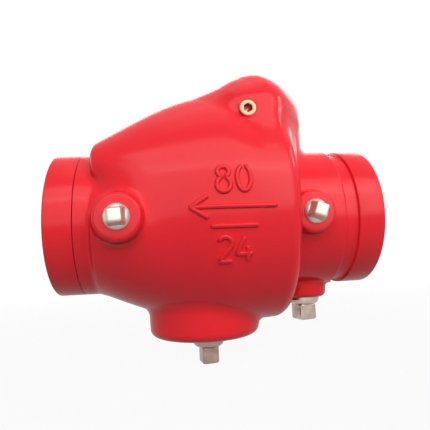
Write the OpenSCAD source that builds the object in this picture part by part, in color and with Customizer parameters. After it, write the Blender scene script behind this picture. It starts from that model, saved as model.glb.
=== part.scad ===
// Swing check valve with grooved ends for 3 inch pipe, DN 80
// The origin is the middle of the inlet face on the pipe axis.
// Flow enters at the inlet face and runs along -X to the outlet. +Z is up.

/* [Pipe ends] */
// Outside diameter of the pipe and of the grooved ends
pipe_od = 88.9; // [88:0.1:90]
// Distance between the two end faces
face_to_face = 196; // [190:1:205]
// Width of the land outside each groove
land_w = 15.9; // [14:0.1:17]
// Width of each groove
groove_w = 8; // [7:0.1:9]
// Diameter at the bottom of each groove
groove_d = 84.9; // [84:0.1:86]
// Bore of both ends
end_bore = 77; // [76.5:0.1:78]
// Chamfer on the outer edges of the lands
land_chamfer = 1; // [0.5:0.1:1.4]
// Outside diameter of the inlet neck
neck_od = 90; // [89:0.5:92]
// Room round each groove that stays clear for a coupling
coupling_room = 30; // [25:1:35]

/* [Casing] */
// Wall of the casing
wall = 6.5; // [5.5:0.1:7]
// Distance from the inlet face to the widest section of the belly
belly_from_inlet = 91; // [86:1:96]
// Half width of the belly
belly_half_w = 61; // [59:0.5:64]
// Height of the belly's crown above the pipe axis
belly_top = 83; // [80:0.5:86]
// Depth of the belly's floor below the pipe axis
belly_bottom = 66; // [64:0.5:68]
// Half width of the casing where it leaves the outlet groove
shoulder_half_w = 46.5; // [46:0.5:48]
// Top of the casing where it leaves the outlet groove
shoulder_top = 52.5; // [49:0.5:54]
// Bottom of the casing where it leaves the outlet groove
shoulder_bottom = 44; // [43.5:0.5:46]
// Distance from the inlet face to the outside of the end wall
end_wall_from_inlet = 51.5; // [50.5:0.5:53]
// Rounding of the rim between the belly and the end wall
rim_r = 12; // [9:0.5:14]

/* [Hinge hump] */
// Distance from the inlet face to the middle of the hump
hump_from_inlet = 68.5; // [66:0.5:70]
// Height of the hump's middle above the pipe axis
hump_z = 68.6; // [67:0.1:70]
// Height of the hump's foot above the pipe axis
foot_z = 20; // [17:1:24]
// Radius of the hump's outline, seen from the side
hump_r = 28.3; // [27:0.1:29]
// Stretch of that outline along the pipe
hump_stretch = 1.05; // [1:0.01:1.08]
// Half width of the hump across the pipe, at the shaft
hump_half_w = 46.6; // [45.5:0.1:48]
// Lean of the hump's faces above the shaft, as a slope
hump_lean = 0.25; // [0.2:0.01:0.3]
// Taper of the hump's faces towards the inlet, as a slope
hump_taper = 0.06; // [0.04:0.01:0.14]
// Taper of the hump's faces towards the tail, as a slope
tail_taper = 0.9; // [0.6:0.1:1]
// Distance from the shaft to where that taper begins
tail_taper_start = 8; // [6:0.5:10]
// Depth of the rounding on top of the hump
round_top = 28; // [25:0.5:30]
// Depth of the rounding on the inlet side of the hump
round_side = 17; // [15:0.5:20]
// Width of the rounding across the pipe, on top
round_w = 40; // [36:0.5:42]
// Width of the rounding across the pipe, on the inlet side
round_side_w = 32; // [30:0.5:36]
// Distance from the inlet face to the tail of the hump
tail_from_inlet = 102; // [100:0.5:106]
// Radius of the tail, seen from the side
tail_r = 13; // [11:0.5:14]
// Height of the tail's middle above the pipe axis
tail_z = 67.5; // [66:0.5:69]

/* [Hinge] */
// Distance from the inlet face to the hinge shaft
shaft_from_inlet = 80; // [79:0.5:81]
// Height of the hinge shaft above the pipe axis
shaft_z = 61.3; // [60:0.1:62.5]
// Diameter of the hinge shaft
shaft_d = 8; // [7:0.1:8.5]
// Outside diameter of the hinge bushes
bush_od = 10; // [9.6:0.1:10.2]
// Half distance between the outer faces of the shaft bosses
boss_half_span = 45.5; // [44.5:0.1:46]
// Length of each shaft boss
boss_len = 15.5; // [14:0.5:17]
// Outside diameter of the shaft bosses
shaft_boss_d = 20; // [18:0.5:22]
// Radial running clearance of the shaft
shaft_clear = 0.05; // [0.03:0.01:0.08]
// Diameter of the thread of the shaft plugs
shaft_plug_d = 10.3; // [10.2:0.05:10.6]
// Length of the shaft plugs
shaft_plug_len = 7.2; // [6:0.1:7.6]
// Width across flats of the socket in the shaft plugs
shaft_plug_key = 4.8; // [4:0.1:5.5]

/* [Clapper and seat] */
// Distance from the inlet face to the nose of the seat
seat_from_inlet = 59; // [58:0.5:60]
// Step in radius from the inlet bore to the seat ring's thread
seat_step = 1.5; // [1.2:0.1:2]
// Wall of the seat ring's threaded sleeve
seat_wall = 4; // [3.5:0.1:5]
// Length of the threaded sleeve of the seat ring
seat_len = 13; // [11:0.5:14]
// Thickness of the seat ring's flange
seat_flange_t = 2.5; // [2:0.1:3]
// Diameter of the wire section of the seat's o-ring
oring_d = 2.4; // [2:0.1:2.6]
// How far the clapper reaches past the seat ring, in radius
clapper_lap = 0.8; // [0.4:0.1:1.2]
// Thickness of the clapper's disc
clapper_t = 7; // [6:0.5:8]
// Thickness of the rubber facing
seal_t = 4; // [3:0.5:5]
// How far the rubber facing stays inside the clapper's edge
seal_inset = 0.3; // [0.1:0.1:0.6]
// Gap between the facing and the seat in the closed place
seat_gap = 0.3; // [0.2:0.05:0.4]
// Gap round the plate that holds the facing, inside the seat
retainer_gap = 3; // [2:0.5:4]
// Thickness of that plate
retainer_t = 3; // [2:0.5:4]
// Diameter of the bolt that holds the plate
bolt_d = 10; // [8:0.5:12]
// Width across flats of the bolt's head
bolt_key = 17; // [14:0.5:19]
// Height of the bolt's head
bolt_head = 6.4; // [5:0.1:7.5]
// Outside diameter of the bolt's washer
washer_od = 24; // [22:0.5:26]
// Thickness of the bolt's washer
washer_t = 2; // [1:0.1:2.5]
// Inner half distance between the clapper's two arms
arm_gap_half = 9; // [8:0.5:10]
// Thickness of each arm
arm_t = 7; // [6:0.5:8]
// Radius of the eye at the top of each arm
eye_r = 9; // [8:0.5:10]

/* [Spring] */
// Diameter of the spring wire
wire_d = 2; // [1.6:0.1:2.2]
// Number of whole turns of the spring
spring_turns = 6; // [4:1:7]
// Length of the leg that pushes on the clapper
leg_low = 36; // [32:1:40]
// Length of the leg that pushes on the hump's roof
leg_high = 19.4; // [16:0.1:19.6]
// Angle at which the upper leg leaves the coil
leg_angle = 53; // [48:1:56]

/* [Ports and plugs] */
// Distance from the inlet face to the outlet gauge port
outlet_port_from_inlet = 154; // [150:0.5:156]
// Radius of the outlet gauge port's boss
outlet_port_r = 13; // [12:0.1:13.5]
// How far that boss stands out past the belly's half width
outlet_port_rise = 0; // [-1:0.5:2]
// Height of the outlet gauge port above the pipe axis
outlet_port_z = -1.5; // [-4:0.5:2]
// Distance from the inlet face to the inlet gauge port
inlet_port_from_inlet = 46; // [43.5:0.5:47]
// Radius of the inlet gauge port's boss
inlet_port_r = 12.1; // [11:0.1:13]
// How far that boss stands out of the neck
inlet_port_rise = 8; // [6:0.5:10]
// Height of the inlet gauge port above the pipe axis
inlet_port_z = -1; // [-2:0.5:2]
// Distance from the inlet face to the main drain port
drain_from_inlet = 104.5; // [102:0.5:109]
// Distance from the inlet face to the middle of the main drain boss
drain_boss_from_inlet = 106.5; // [104:0.5:109]
// Radius of the main drain boss
drain_boss_r = 35; // [33:0.5:36]
// How far that boss stands out below the belly's floor
drain_rise = 7; // [6:0.5:10]
// Distance from the inlet face to the inlet drain port
inlet_drain_from_inlet = 39; // [38.8:0.1:41]
// Radius of the inlet drain boss
inlet_drain_r = 14.8; // [13.5:0.1:15]
// How far that boss stands out below the neck
inlet_drain_rise = 8; // [7:0.5:11]
// Edge rounding of the bosses
boss_edge = 2.5; // [1:0.5:4]
// Diameter of the gauge plugs' thread
gauge_plug_d = 13.7; // [13:0.1:14]
// Width across flats of the gauge plugs' heads at their foot
gauge_square = 9.4; // [9:0.1:10.5]
// Width of those heads at their face
gauge_face = 6.8; // [5.5:0.1:8]
// Collar of the gauge plugs, from the boss to the head
gauge_neck = 2.6; // [2:0.1:3.5]
// Height of the gauge plugs' heads
gauge_head = 7.2; // [6:0.1:8]
// Length of the gauge plugs' thread
gauge_shank = 8; // [7:0.5:10]
// Turn of the outlet gauge plug's square
outlet_gauge_turn = 4; // [0:1:89]
// Turn of the inlet gauge plug's square
inlet_gauge_turn = 70; // [0:1:89]
// Diameter of the drain plugs' thread
drain_plug_d = 20.8; // [20:0.1:21.4]
// Width across flats of the main drain plug's head
drain_square = 10.8; // [10:0.1:14.5]
// Width across flats of the inlet drain plug's head
inlet_drain_square = 12.2; // [10:0.1:14.5]
// Height of the drain plugs' heads
drain_head = 10; // [9:0.5:12]
// Collar of the main drain plug, from the boss to the head
drain_neck = 9; // [8:0.5:10]
// Length of the main drain plug's thread
drain_shank = 12; // [10:0.5:14]
// Collar of the inlet drain plug
inlet_drain_neck = 5.2; // [4:0.1:6]
// Length of the inlet drain plug's thread
inlet_drain_shank = 9; // [8:0.5:10]
// Turn of the main drain plug's square
drain_turn = 11; // [0:1:89]
// Turn of the inlet drain plug's square
inlet_drain_turn = 16; // [0:1:89]

/* [Hidden] */
$fn = 96;
fit = 0.05;
seat_side = 0.3;
over = 1;
red = [0.86, 0.13, 0.17];
iron = [0.45, 0.45, 0.46];
bronze = [0.78, 0.58, 0.30];
rubber = [0.10, 0.10, 0.11];
zinc = [0.80, 0.79, 0.76];
steel = [0.68, 0.68, 0.70];

outlet_x = -face_to_face;
groove_in = land_w + groove_w;
shoulder_x = outlet_x + groove_in + 0.7;
belly_x = -belly_from_inlet;
end_wall_x = -end_wall_from_inlet;
hump_x = -hump_from_inlet;
tail_x = -tail_from_inlet;
shaft_x = -shaft_from_inlet;
seat_x = -seat_from_inlet;
flange_x = seat_x + seat_len;
seal_x = seat_x - seat_gap;
disc_x = seal_x - seal_t;
disc_back_x = disc_x - clapper_t;
retainer_x = seal_x + retainer_t;
washer_x = retainer_x + washer_t;
seat_od = end_bore - 2*seat_step;
seat_id = seat_od - 2*seat_wall;
clapper_d = seat_od + 2*clapper_lap;
seal_d = clapper_d - 2*seal_inset;
retainer_d = seat_id - 2*retainer_gap;
hub_r = bolt_d/2 + 7;
hub_back_x = disc_back_x - 5.5;
arm_half = arm_gap_half + arm_t;
arm_foot = shaft_z - 3.3;
boss_inner_half = boss_half_span - boss_len;
bush_out = boss_half_span - shaft_plug_len + 0.5;
plug_proud = 1.2;
outlet_port_face = belly_half_w + outlet_port_rise;
inlet_port_face = neck_od/2 + inlet_port_rise;
drain_face = belly_bottom + drain_rise;
inlet_drain_face = neck_od/2 + inlet_drain_rise;
boss_root = 30;
drain_boss_root = 40;
outlet_bore_reach = 20;
seat_bore_reach = 6;

// Rise of the casing from the outlet shoulder to the belly, as a quarter sine wave
stations = 12;
function rise(s) = sin(90*s);
function blend(a, b, s) = a + (b - a)*rise(s);

// Depths of the planes that carry the hump's outline, measured from its faces
face_steps = [0, 0.8, 3, 7, 13, 21, 31, round_w];

// A thin oval slice across the pipe, at x, from half width, top and bottom
module slice(x, half_w, top, bottom) {
    translate([x, 0, (top - bottom)/2]) rotate([0, 90, 0])
        scale([(top + bottom)/2, half_w, 1]) cylinder(r = 1, h = 0.01, $fn = 40);
}

// The casing's belly, drawn in by inset for the chamber inside it
module belly(inset, rim) {
    span = belly_x - shoulder_x;
    start = shoulder_x + inset*0.6;
    flat_x = end_wall_x - inset;
    hull() {
        for (i = [0:stations]) {
            s = i/stations;
            x = (i == 0) ? start : shoulder_x + span*s + inset*0.6*(1 - s);
            slice(x, blend(shoulder_half_w, belly_half_w, s) - inset,
                blend(shoulder_top, belly_top, s) - inset,
                blend(shoulder_bottom, belly_bottom, s) - inset);
        }
        for (a = [0:18:90]) {
            draw = rim*(1 - cos(a)) + inset + 1.2;
            slice(flat_x - rim + rim*sin(a), belly_half_w - draw, belly_top - draw - 3,
                belly_bottom - draw);
        }
    }
}

// The hump's rounding is the curve u^p + v^p = 1. Its power and depth change with the angle a
// of the outline: an ellipse on top, and a flat band between two tighter edges at the inlet side
function right(a) = max(cos(a), 0);
function power(a) = 2 - 0.65*sin(90*right(a));
function depth(a) = round_top - (round_top - round_side)*pow(right(a), 2);
function width(a) = round_w - (round_w - round_side_w)*right(a);
function share(a, d) = pow(max(1 - d/width(a), 0), power(a));
function cut(a, d) = depth(a)*(1 - pow(1 - share(a, d), 1/power(a)));

// Half width of the hump's faces at a place
function hump_half(x, z) = hump_half_w - hump_lean*max(z - shaft_z, 0)
    - hump_taper*max(x - shaft_x, 0) - tail_taper*max(shaft_x - tail_taper_start - x, 0);

// Middle and radius of the part of the outline that faces the angle a: foot, top or tail
function reach(part, a) = part[0]*cos(a) + part[1]*sin(a) + part[2];
function main_part(a) = [hump_x, a > 180 ? foot_z : hump_z, hump_r];
function tail_part() = [tail_x, tail_z, tail_r];
function part_at(a) = reach(tail_part(), a) > reach(main_part(a), a) ? tail_part() : main_part(a);

// Point of the hump at the angle a of its outline and d inside its face
function hump_point(a, d, side, inset) = let (part = part_at(a), size = part[2]/hump_r,
    r = max(part[2] - inset - size*cut(a, d), 0.5),
    x = part[0] + r*hump_stretch*cos(a), z = part[1] + r*sin(a))
    [x, side*(hump_half(x, z) - inset - size*d), z];

// The hump over the hinge, drawn in by inset for the room inside it
module hump(inset) {
    cols = 30;
    rows = 2*len(face_steps);
    points = [for (i = [0:rows - 1]) let (front = i < len(face_steps), k = front ? i : rows - 1 - i)
        for (j = [0:cols - 1]) hump_point(j*360/cols, face_steps[k], front ? -1 : 1, inset)];
    walls = [for (i = [0:rows - 2], j = [0:cols - 1]) let (a = i*cols + j, b = i*cols + (j + 1)%cols)
        each [[a, b, b + cols], [a, b + cols, a + cols]]];
    front_cap = [for (j = [1:cols - 2]) [0, j + 1, j]];
    last = (rows - 1)*cols;
    rear_cap = [for (j = [1:cols - 2]) [last, last + j, last + j + 1]];
    hull() polyhedron(points = points, faces = concat(walls, front_cap, rear_cap));
}

// A bar along X from x0 to x1
module along_x(x0, x1, d) {
    translate([x0, 0, 0]) rotate([0, 90, 0]) cylinder(d = d, h = x1 - x0);
}

// A bar along Y through the hinge, from y0 to y1
module on_hinge(y0, y1, d, sides = 96) {
    translate([shaft_x, y0, shaft_z]) rotate([-90, 0, 0]) cylinder(d = d, h = y1 - y0, $fn = sides);
}

// A round boss with a rounded edge, standing on the plane z = 0 and h high
module round_boss(r, h, edge) {
    rotate_extrude() {
        square([r - edge, h]);
        square([r, h - edge]);
        translate([r - edge, h - edge]) intersection() {
            circle(r = edge);
            square(edge);
        }
    }
}

// One grooved end, from its face at x = 0 towards -X, with its chamfers
module grooved_end() {
    reach = groove_in + 2;
    rotate([0, -90, 0]) rotate_extrude() polygon([
        [0, 0], [pipe_od/2 - land_chamfer, 0], [pipe_od/2, land_chamfer],
        [pipe_od/2, land_w - 0.4], [pipe_od/2 - 0.4, land_w], [groove_d/2, land_w],
        [groove_d/2, groove_in], [pipe_od/2 - 0.6, groove_in], [pipe_od/2, groove_in + 0.6],
        [pipe_od/2, reach], [0, reach]]);
}

// What stays clear round a groove, so that a coupling can seat
module groove_room(x) {
    translate([x, 0, 0]) rotate([0, -90, 0]) difference() {
        cylinder(d = pipe_od + 2*coupling_room, h = groove_w);
        translate([0, 0, -over]) cylinder(d = groove_d, h = groove_w + 2*over);
    }
}

module casing_outside() {
    belly(0, rim_r);
    hump(0);
    grooved_end();
    translate([outlet_x, 0, 0]) mirror([1, 0, 0]) grooved_end();
    along_x(end_wall_x - 4, -groove_in - 0.6, neck_od);
    translate([-outlet_port_from_inlet, -boss_root, outlet_port_z]) rotate([90, 0, 0])
        round_boss(outlet_port_r, outlet_port_face - boss_root, boss_edge);
    translate([-inlet_port_from_inlet, -boss_root, inlet_port_z]) rotate([90, 0, 0])
        round_boss(inlet_port_r, inlet_port_face - boss_root, boss_edge);
    translate([-drain_boss_from_inlet, 0, -drain_boss_root]) mirror([0, 0, 1])
        round_boss(drain_boss_r, drain_face - drain_boss_root, boss_edge*2);
    translate([-inlet_drain_from_inlet, 0, -boss_root]) mirror([0, 0, 1])
        round_boss(inlet_drain_r, inlet_drain_face - boss_root, boss_edge);
}

module chamber() {
    difference() {
        union() {
            belly(wall, rim_r - wall/2);
            hump(wall);
        }
        for (side = [-1, 1])
            translate([shaft_x, side*boss_inner_half, shaft_z]) rotate([-side*90, 0, 0])
                cylinder(d = shaft_boss_d, h = boss_half_span);
    }
}

module body() {
    color(red) difference() {
        casing_outside();
        chamber();
        along_x(outlet_x - over, shoulder_x + outlet_bore_reach, end_bore);
        along_x(flange_x, over, end_bore);
        along_x(seat_x - seat_bore_reach, flange_x + over, seat_od + 2*fit);
        on_hinge(-boss_half_span - 5, boss_half_span + 5, bush_od + 2*fit);
        on_hinge(bush_out, boss_half_span + 5, shaft_plug_d + 2*fit);
        on_hinge(-boss_half_span - 5, -bush_out, shaft_plug_d + 2*fit);
        translate([-outlet_port_from_inlet, 0, outlet_port_z]) rotate([90, 0, 0])
            cylinder(d = gauge_plug_d + 2*fit, h = outlet_port_face + over);
        translate([-inlet_port_from_inlet, 0, inlet_port_z]) rotate([90, 0, 0])
            cylinder(d = gauge_plug_d + 2*fit, h = inlet_port_face + over);
        translate([-drain_from_inlet, 0, 0]) mirror([0, 0, 1])
            cylinder(d = drain_plug_d + 2*fit, h = drain_face + over);
        translate([-inlet_drain_from_inlet, 0, 0]) mirror([0, 0, 1])
            cylinder(d = drain_plug_d + 2*fit, h = inlet_drain_face + over);
        groove_room(-land_w);
        groove_room(outlet_x + groove_in);
    }
}

module seat_ring() {
    groove_mid = flange_x - 2.6;
    color(bronze) difference() {
        union() {
            along_x(seat_x, flange_x, seat_od);
            along_x(flange_x, flange_x + seat_flange_t, end_bore - 0.4);
        }
        along_x(seat_x - over, flange_x + seat_flange_t + over, seat_id);
        difference() {
            along_x(groove_mid - oring_d*0.62, groove_mid + oring_d*0.62, seat_od + 4);
            along_x(groove_mid - oring_d, groove_mid + oring_d, seat_od - 2*oring_d);
        }
    }
}

module seat_oring() {
    color(rubber) translate([flange_x - 2.6, 0, 0]) rotate([0, 90, 0])
        rotate_extrude() translate([seat_od/2 - oring_d/2, 0]) circle(d = oring_d, $fn = 32);
}

// Side outline of one arm, as X and Z measured from the hinge
module arm_outline() {
    back = disc_back_x - shaft_x;
    circle(r = eye_r);
    polygon([[-eye_r*0.98, -eye_r/6], [-eye_r/2, -arm_foot*0.34], [-1, -arm_foot*0.65],
        [1, -arm_foot*0.9], [back, -arm_foot], [back, -arm_foot*0.45], [eye_r*0.97, -eye_r/5]]);
}

module clapper() {
    color(iron) difference() {
        union() {
            along_x(disc_back_x, disc_x, clapper_d);
            along_x(hub_back_x, disc_back_x, 2*hub_r);
            for (y = [-arm_half, arm_gap_half])
                translate([shaft_x, y + arm_t, shaft_z]) rotate([90, 0, 0])
                    linear_extrude(height = arm_t) arm_outline();
        }
        on_hinge(-arm_half - over, arm_half + over, shaft_d + 2*shaft_clear);
        along_x(hub_back_x + 2.5, disc_x + over, bolt_d + 2*fit);
    }
}

module ring_x(x0, x1, d, hole) {
    difference() {
        along_x(x0, x1, d);
        along_x(x0 - over, x1 + over, hole);
    }
}

module clapper_seal() {
    color(rubber) ring_x(disc_x, seal_x, seal_d, bolt_d + 2*fit);
}

module seal_retainer() {
    color(steel) ring_x(seal_x, retainer_x, retainer_d, bolt_d + 2*fit);
}

module bolt_washer() {
    color(steel) ring_x(retainer_x, washer_x, washer_od, bolt_d + 2*fit);
}

module retainer_bolt() {
    crown = 1.2;
    color(zinc) {
        along_x(hub_back_x + 3, washer_x + 0.01, bolt_d);
        translate([washer_x, 0, 0]) rotate([0, 90, 0]) intersection() {
            cylinder(d = bolt_key/cos(30), h = bolt_head, $fn = 6);
            cylinder(r1 = bolt_key/2 + bolt_head*1.6, r2 = bolt_key/2 - crown, h = bolt_head + 0.001);
        }
    }
}

module hinge_shaft() {
    color(steel) on_hinge(-bush_out + 0.3, bush_out - 0.3, shaft_d);
}

module hinge_tube(y0, y1, d, hole) {
    difference() {
        on_hinge(y0, y1, d);
        on_hinge(y0 - over, y1 + over, hole);
    }
}

module hinge_bush_front() {
    color(bronze) hinge_tube(-bush_out, -boss_inner_half, bush_od, shaft_d + 2*fit);
}

module hinge_bush_rear() {
    color(bronze) hinge_tube(boss_inner_half, bush_out, bush_od, shaft_d + 2*fit);
}

module shaft_spacer_front() {
    color(steel) hinge_tube(-boss_inner_half, -arm_half - seat_side, shaft_d + 4, shaft_d + 2*fit);
}

module shaft_spacer_rear() {
    color(steel) hinge_tube(arm_half + seat_side, boss_inner_half, shaft_d + 4, shaft_d + 2*fit);
}

// A socket plug for one end of the shaft's bore; side is -1 at the front and 1 at the rear
module shaft_plug(side) {
    inner = boss_half_span + plug_proud - shaft_plug_len;
    translate([shaft_x, side*inner, shaft_z]) rotate([-side*90, 0, 0]) difference() {
        union() {
            cylinder(d = shaft_plug_d, h = shaft_plug_len - 0.8);
            translate([0, 0, shaft_plug_len - 0.8])
                cylinder(d1 = shaft_plug_d, d2 = shaft_plug_d - 1.6, h = 0.8);
        }
        translate([0, 0, shaft_plug_len - 4])
            cylinder(d = shaft_plug_key/cos(30), h = 4 + over, $fn = 6);
    }
}

module shaft_plug_front() {
    color(zinc) shaft_plug(-1);
}

module shaft_plug_rear() {
    color(zinc) shaft_plug(1);
}

// A square-head pipe plug standing on z = 0, its thread below and its head above. The head
// narrows from foot_w to face_w, its corners are turned off and its face has a chamfer
module pipe_plug(d, foot_w, face_w, neck, head, shank) {
    collar = neck*0.45;
    translate([0, 0, -shank]) cylinder(d = d, h = shank + collar);
    translate([0, 0, collar]) cylinder(d1 = d, d2 = foot_w*1.12, h = neck - collar);
    translate([0, 0, neck]) intersection() {
        rotate([0, 0, 45]) cylinder(d1 = foot_w/cos(45), d2 = face_w/cos(45), h = head, $fn = 4);
        cylinder(r1 = face_w/2 + head*2, r2 = face_w*0.45, h = head + 0.001);
        cylinder(d = foot_w*1.3, h = head + over);
    }
}

module outlet_gauge_plug() {
    color(zinc) translate([-outlet_port_from_inlet, -outlet_port_face, outlet_port_z]) rotate([90, 0, 0])
        rotate([0, 0, outlet_gauge_turn])
            pipe_plug(gauge_plug_d, gauge_square, gauge_face, gauge_neck, gauge_head, gauge_shank);
}

module inlet_gauge_plug() {
    color(zinc) translate([-inlet_port_from_inlet, -inlet_port_face, inlet_port_z]) rotate([90, 0, 0])
        rotate([0, 0, inlet_gauge_turn])
            pipe_plug(gauge_plug_d, gauge_square, gauge_face, gauge_neck, gauge_head, gauge_shank);
}

module drain_plug() {
    color(zinc) translate([-drain_from_inlet, 0, -drain_face]) mirror([0, 0, 1])
        rotate([0, 0, drain_turn])
            pipe_plug(drain_plug_d, drain_square, drain_square, drain_neck, drain_head, drain_shank);
}

module inlet_drain_plug() {
    color(zinc) translate([-inlet_drain_from_inlet, 0, -inlet_drain_face]) mirror([0, 0, 1])
        rotate([0, 0, inlet_drain_turn])
            pipe_plug(drain_plug_d, inlet_drain_square, inlet_drain_square, inlet_drain_neck, drain_head,
                inlet_drain_shank);
}

// Path of the spring wire, as X, Y and Z measured from the hinge
coil_r = disc_back_x - shaft_x - wire_d/2 - seat_side;
coil_half = arm_gap_half - seat_side - wire_d/2;
turn_steps = 20;
coil_steps = round(turn_steps*(spring_turns + leg_angle/360));
coil_end = 360*spring_turns + leg_angle;
low_leg_path = [for (k = [0:3]) [coil_r, -coil_half, -leg_low*(1 - k/4)]];
coil_path = [for (k = [0:coil_steps]) let (a = coil_end*k/coil_steps)
    [coil_r*cos(a), -coil_half + 2*coil_half*k/coil_steps, coil_r*sin(a)]];
high_leg_path = [for (k = [1:3]) let (s = leg_high*k/3)
    [coil_r*cos(coil_end) - s*sin(coil_end), coil_half, coil_r*sin(coil_end) + s*cos(coil_end)]];
wire_path = concat(low_leg_path, coil_path, high_leg_path);

// A round wire swept along a path, with its sides turned to the Y axis
module wire(path, d) {
    sides = 8;
    last = len(path) - 1;
    function unit(v) = v/norm(v);
    function way(i) = unit(path[min(i + 1, last)] - path[max(i - 1, 0)]);
    function out(i) = unit(cross(way(i), [0, 1, 0]));
    rings = [for (i = [0:last]) for (j = [0:sides - 1])
        path[i] + d/2*(out(i)*cos(360*j/sides) + cross(out(i), way(i))*sin(360*j/sides))];
    walls = [for (i = [0:last - 1]) for (j = [0:sides - 1])
        [i*sides + j, i*sides + (j + 1)%sides, (i + 1)*sides + (j + 1)%sides, (i + 1)*sides + j]];
    first_cap = [[for (j = [sides - 1:-1:0]) j]];
    last_cap = [[for (j = [0:sides - 1]) last*sides + j]];
    polyhedron(points = rings, faces = concat(walls, first_cap, last_cap));
}

module clapper_spring() {
    color(steel) translate([shaft_x, 0, shaft_z]) wire(wire_path, wire_d);
}

body();
seat_ring();
seat_oring();
clapper();
clapper_seal();
seal_retainer();
retainer_bolt();
bolt_washer();
hinge_shaft();
clapper_spring();
hinge_bush_front();
hinge_bush_rear();
shaft_spacer_front();
shaft_spacer_rear();
shaft_plug_front();
shaft_plug_rear();
outlet_gauge_plug();
inlet_gauge_plug();
drain_plug();
inlet_drain_plug();
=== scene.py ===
# %% [markdown]
# # A swing non-return valve in painted cast iron
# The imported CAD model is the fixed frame. Every piece below sits where that frame says, in metres:
# the origin is the middle of the inlet face, flow runs along -X, and +Z points to the hinge hump.

import math

import bpy
import numpy as np
from mathutils import Matrix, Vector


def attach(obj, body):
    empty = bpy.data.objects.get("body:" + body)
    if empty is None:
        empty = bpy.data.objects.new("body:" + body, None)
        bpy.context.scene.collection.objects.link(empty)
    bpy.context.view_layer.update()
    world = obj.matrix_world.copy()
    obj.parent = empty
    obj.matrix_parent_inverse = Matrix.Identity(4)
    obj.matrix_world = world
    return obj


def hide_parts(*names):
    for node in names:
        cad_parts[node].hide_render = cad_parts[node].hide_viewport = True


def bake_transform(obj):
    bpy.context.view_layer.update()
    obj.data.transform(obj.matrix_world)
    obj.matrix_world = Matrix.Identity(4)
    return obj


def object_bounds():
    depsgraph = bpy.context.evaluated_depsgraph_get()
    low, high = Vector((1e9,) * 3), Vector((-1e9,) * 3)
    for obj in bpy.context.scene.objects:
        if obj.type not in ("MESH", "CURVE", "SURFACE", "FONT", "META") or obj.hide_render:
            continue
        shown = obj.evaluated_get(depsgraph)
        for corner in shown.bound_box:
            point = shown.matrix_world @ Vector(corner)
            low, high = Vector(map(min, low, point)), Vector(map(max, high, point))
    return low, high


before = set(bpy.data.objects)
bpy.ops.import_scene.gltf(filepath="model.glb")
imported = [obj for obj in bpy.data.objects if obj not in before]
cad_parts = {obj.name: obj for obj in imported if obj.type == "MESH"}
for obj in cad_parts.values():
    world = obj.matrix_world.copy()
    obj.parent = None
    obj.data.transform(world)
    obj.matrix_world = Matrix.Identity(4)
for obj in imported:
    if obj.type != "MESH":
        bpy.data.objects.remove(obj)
cad_lo, cad_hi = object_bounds()
MM = 0.001
print(len(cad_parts), "nodes, CAD box in mm:", [round(v / MM, 1) for v in (*cad_lo, *cad_hi)])

# %% [markdown]
# ## The camera
# The photograph was taken from close by, a little below the pipe's axis and looking slightly up.
# The place and the axes were found by fitting the rims of both end faces, whose diameter is known.

# %% Camera
CAMERA_PLACE = (-0.127035, -0.261384, -0.023386)
CAMERA_RIGHT = np.array([0.99291015, -0.11073668, -0.04320663])
CAMERA_UP = np.array([0.0311876, -0.10805829, 0.99365524])


def place_and_turn(place, right, up, back):
    """World matrix of an object at a place, with its X, Y and Z turned to right, up and back."""
    turn = Matrix(np.array([right, up, back]).T.tolist())
    return Matrix.Translation(place) @ turn.to_4x4()


scene = bpy.context.scene
camera = bpy.data.objects.new("camera", bpy.data.cameras.new("camera"))
scene.collection.objects.link(camera)
camera_back = np.cross(CAMERA_RIGHT, CAMERA_UP)
camera.matrix_world = place_and_turn(CAMERA_PLACE, CAMERA_RIGHT, CAMERA_UP, camera_back)
camera.data.sensor_width = 36.0
camera.data.lens = 32.64
camera.data.clip_start = 0.01
camera.data.clip_end = 20.0
scene.camera = camera
print("camera looks along", np.round(-camera_back, 3))


# %% [markdown]
# ## Nodes and colours
# One small function adds a shader node with its settings and links, and one turns an sRGB hex
# colour into the linear values that Blender works with. The others are the few combinations of
# nodes that come back in several finishes.

# %% Node and colour helpers
def linear(hex_colour):
    """Linear RGBA of an sRGB hex colour: c/12.92 up to 0.04045, else ((c + 0.055)/1.055)^2.4."""
    rgb = np.array([int(hex_colour[i : i + 2], 16) / 255 for i in (1, 3, 5)])
    lin = np.where(rgb <= 0.04045, rgb / 12.92, ((rgb + 0.055) / 1.055) ** 2.4)
    return (*lin.tolist(), 1.0)


def add_node(tree, kind, settings=None, **inputs):
    """Adds one node. settings are its own fields. inputs are values, or sockets to link from, by
    the input's name with _ for a space, or by its number as i0, i1 and so on."""
    made = tree.nodes.new(kind)
    for field, value in (settings or {}).items():
        setattr(made, field, value)
    for name, value in inputs.items():
        key = name.replace("_", " ")
        numbered = key[0] == "i" and key[1:].isdigit()
        socket = made.inputs[int(key[1:])] if numbered else made.inputs[key]
        if isinstance(value, bpy.types.NodeSocket):
            tree.links.new(value, socket)
        else:
            socket.default_value = value
    return made


def new_material(name):
    """An empty node material and its tree."""
    material = bpy.data.materials.new(name)
    material.use_nodes = True
    material.node_tree.nodes.clear()
    return material, material.node_tree


def finish_material(tree, shader):
    """Links a shader to the material's output."""
    add_node(tree, "ShaderNodeOutputMaterial", Surface=shader.outputs[0])


def calculated(tree, operation, first, second):
    """Result of one calculation on two sockets."""
    made = add_node(tree, "ShaderNodeMath", {"operation": operation}, i0=first, i1=second)
    return made.outputs[0]


def seen_directly(tree):
    """1 for rays from the camera, reflected rays and rays through glass, 0 for all others."""
    path = add_node(tree, "ShaderNodeLightPath").outputs
    seen = calculated(tree, "MAXIMUM", path["Is Camera Ray"], path["Is Glossy Ray"])
    return calculated(tree, "MAXIMUM", seen, path["Is Transmission Ray"])


def object_space(tree):
    """Coordinates that are fixed to the object, in metres."""
    return add_node(tree, "ShaderNodeTexCoord").outputs["Object"]


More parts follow.
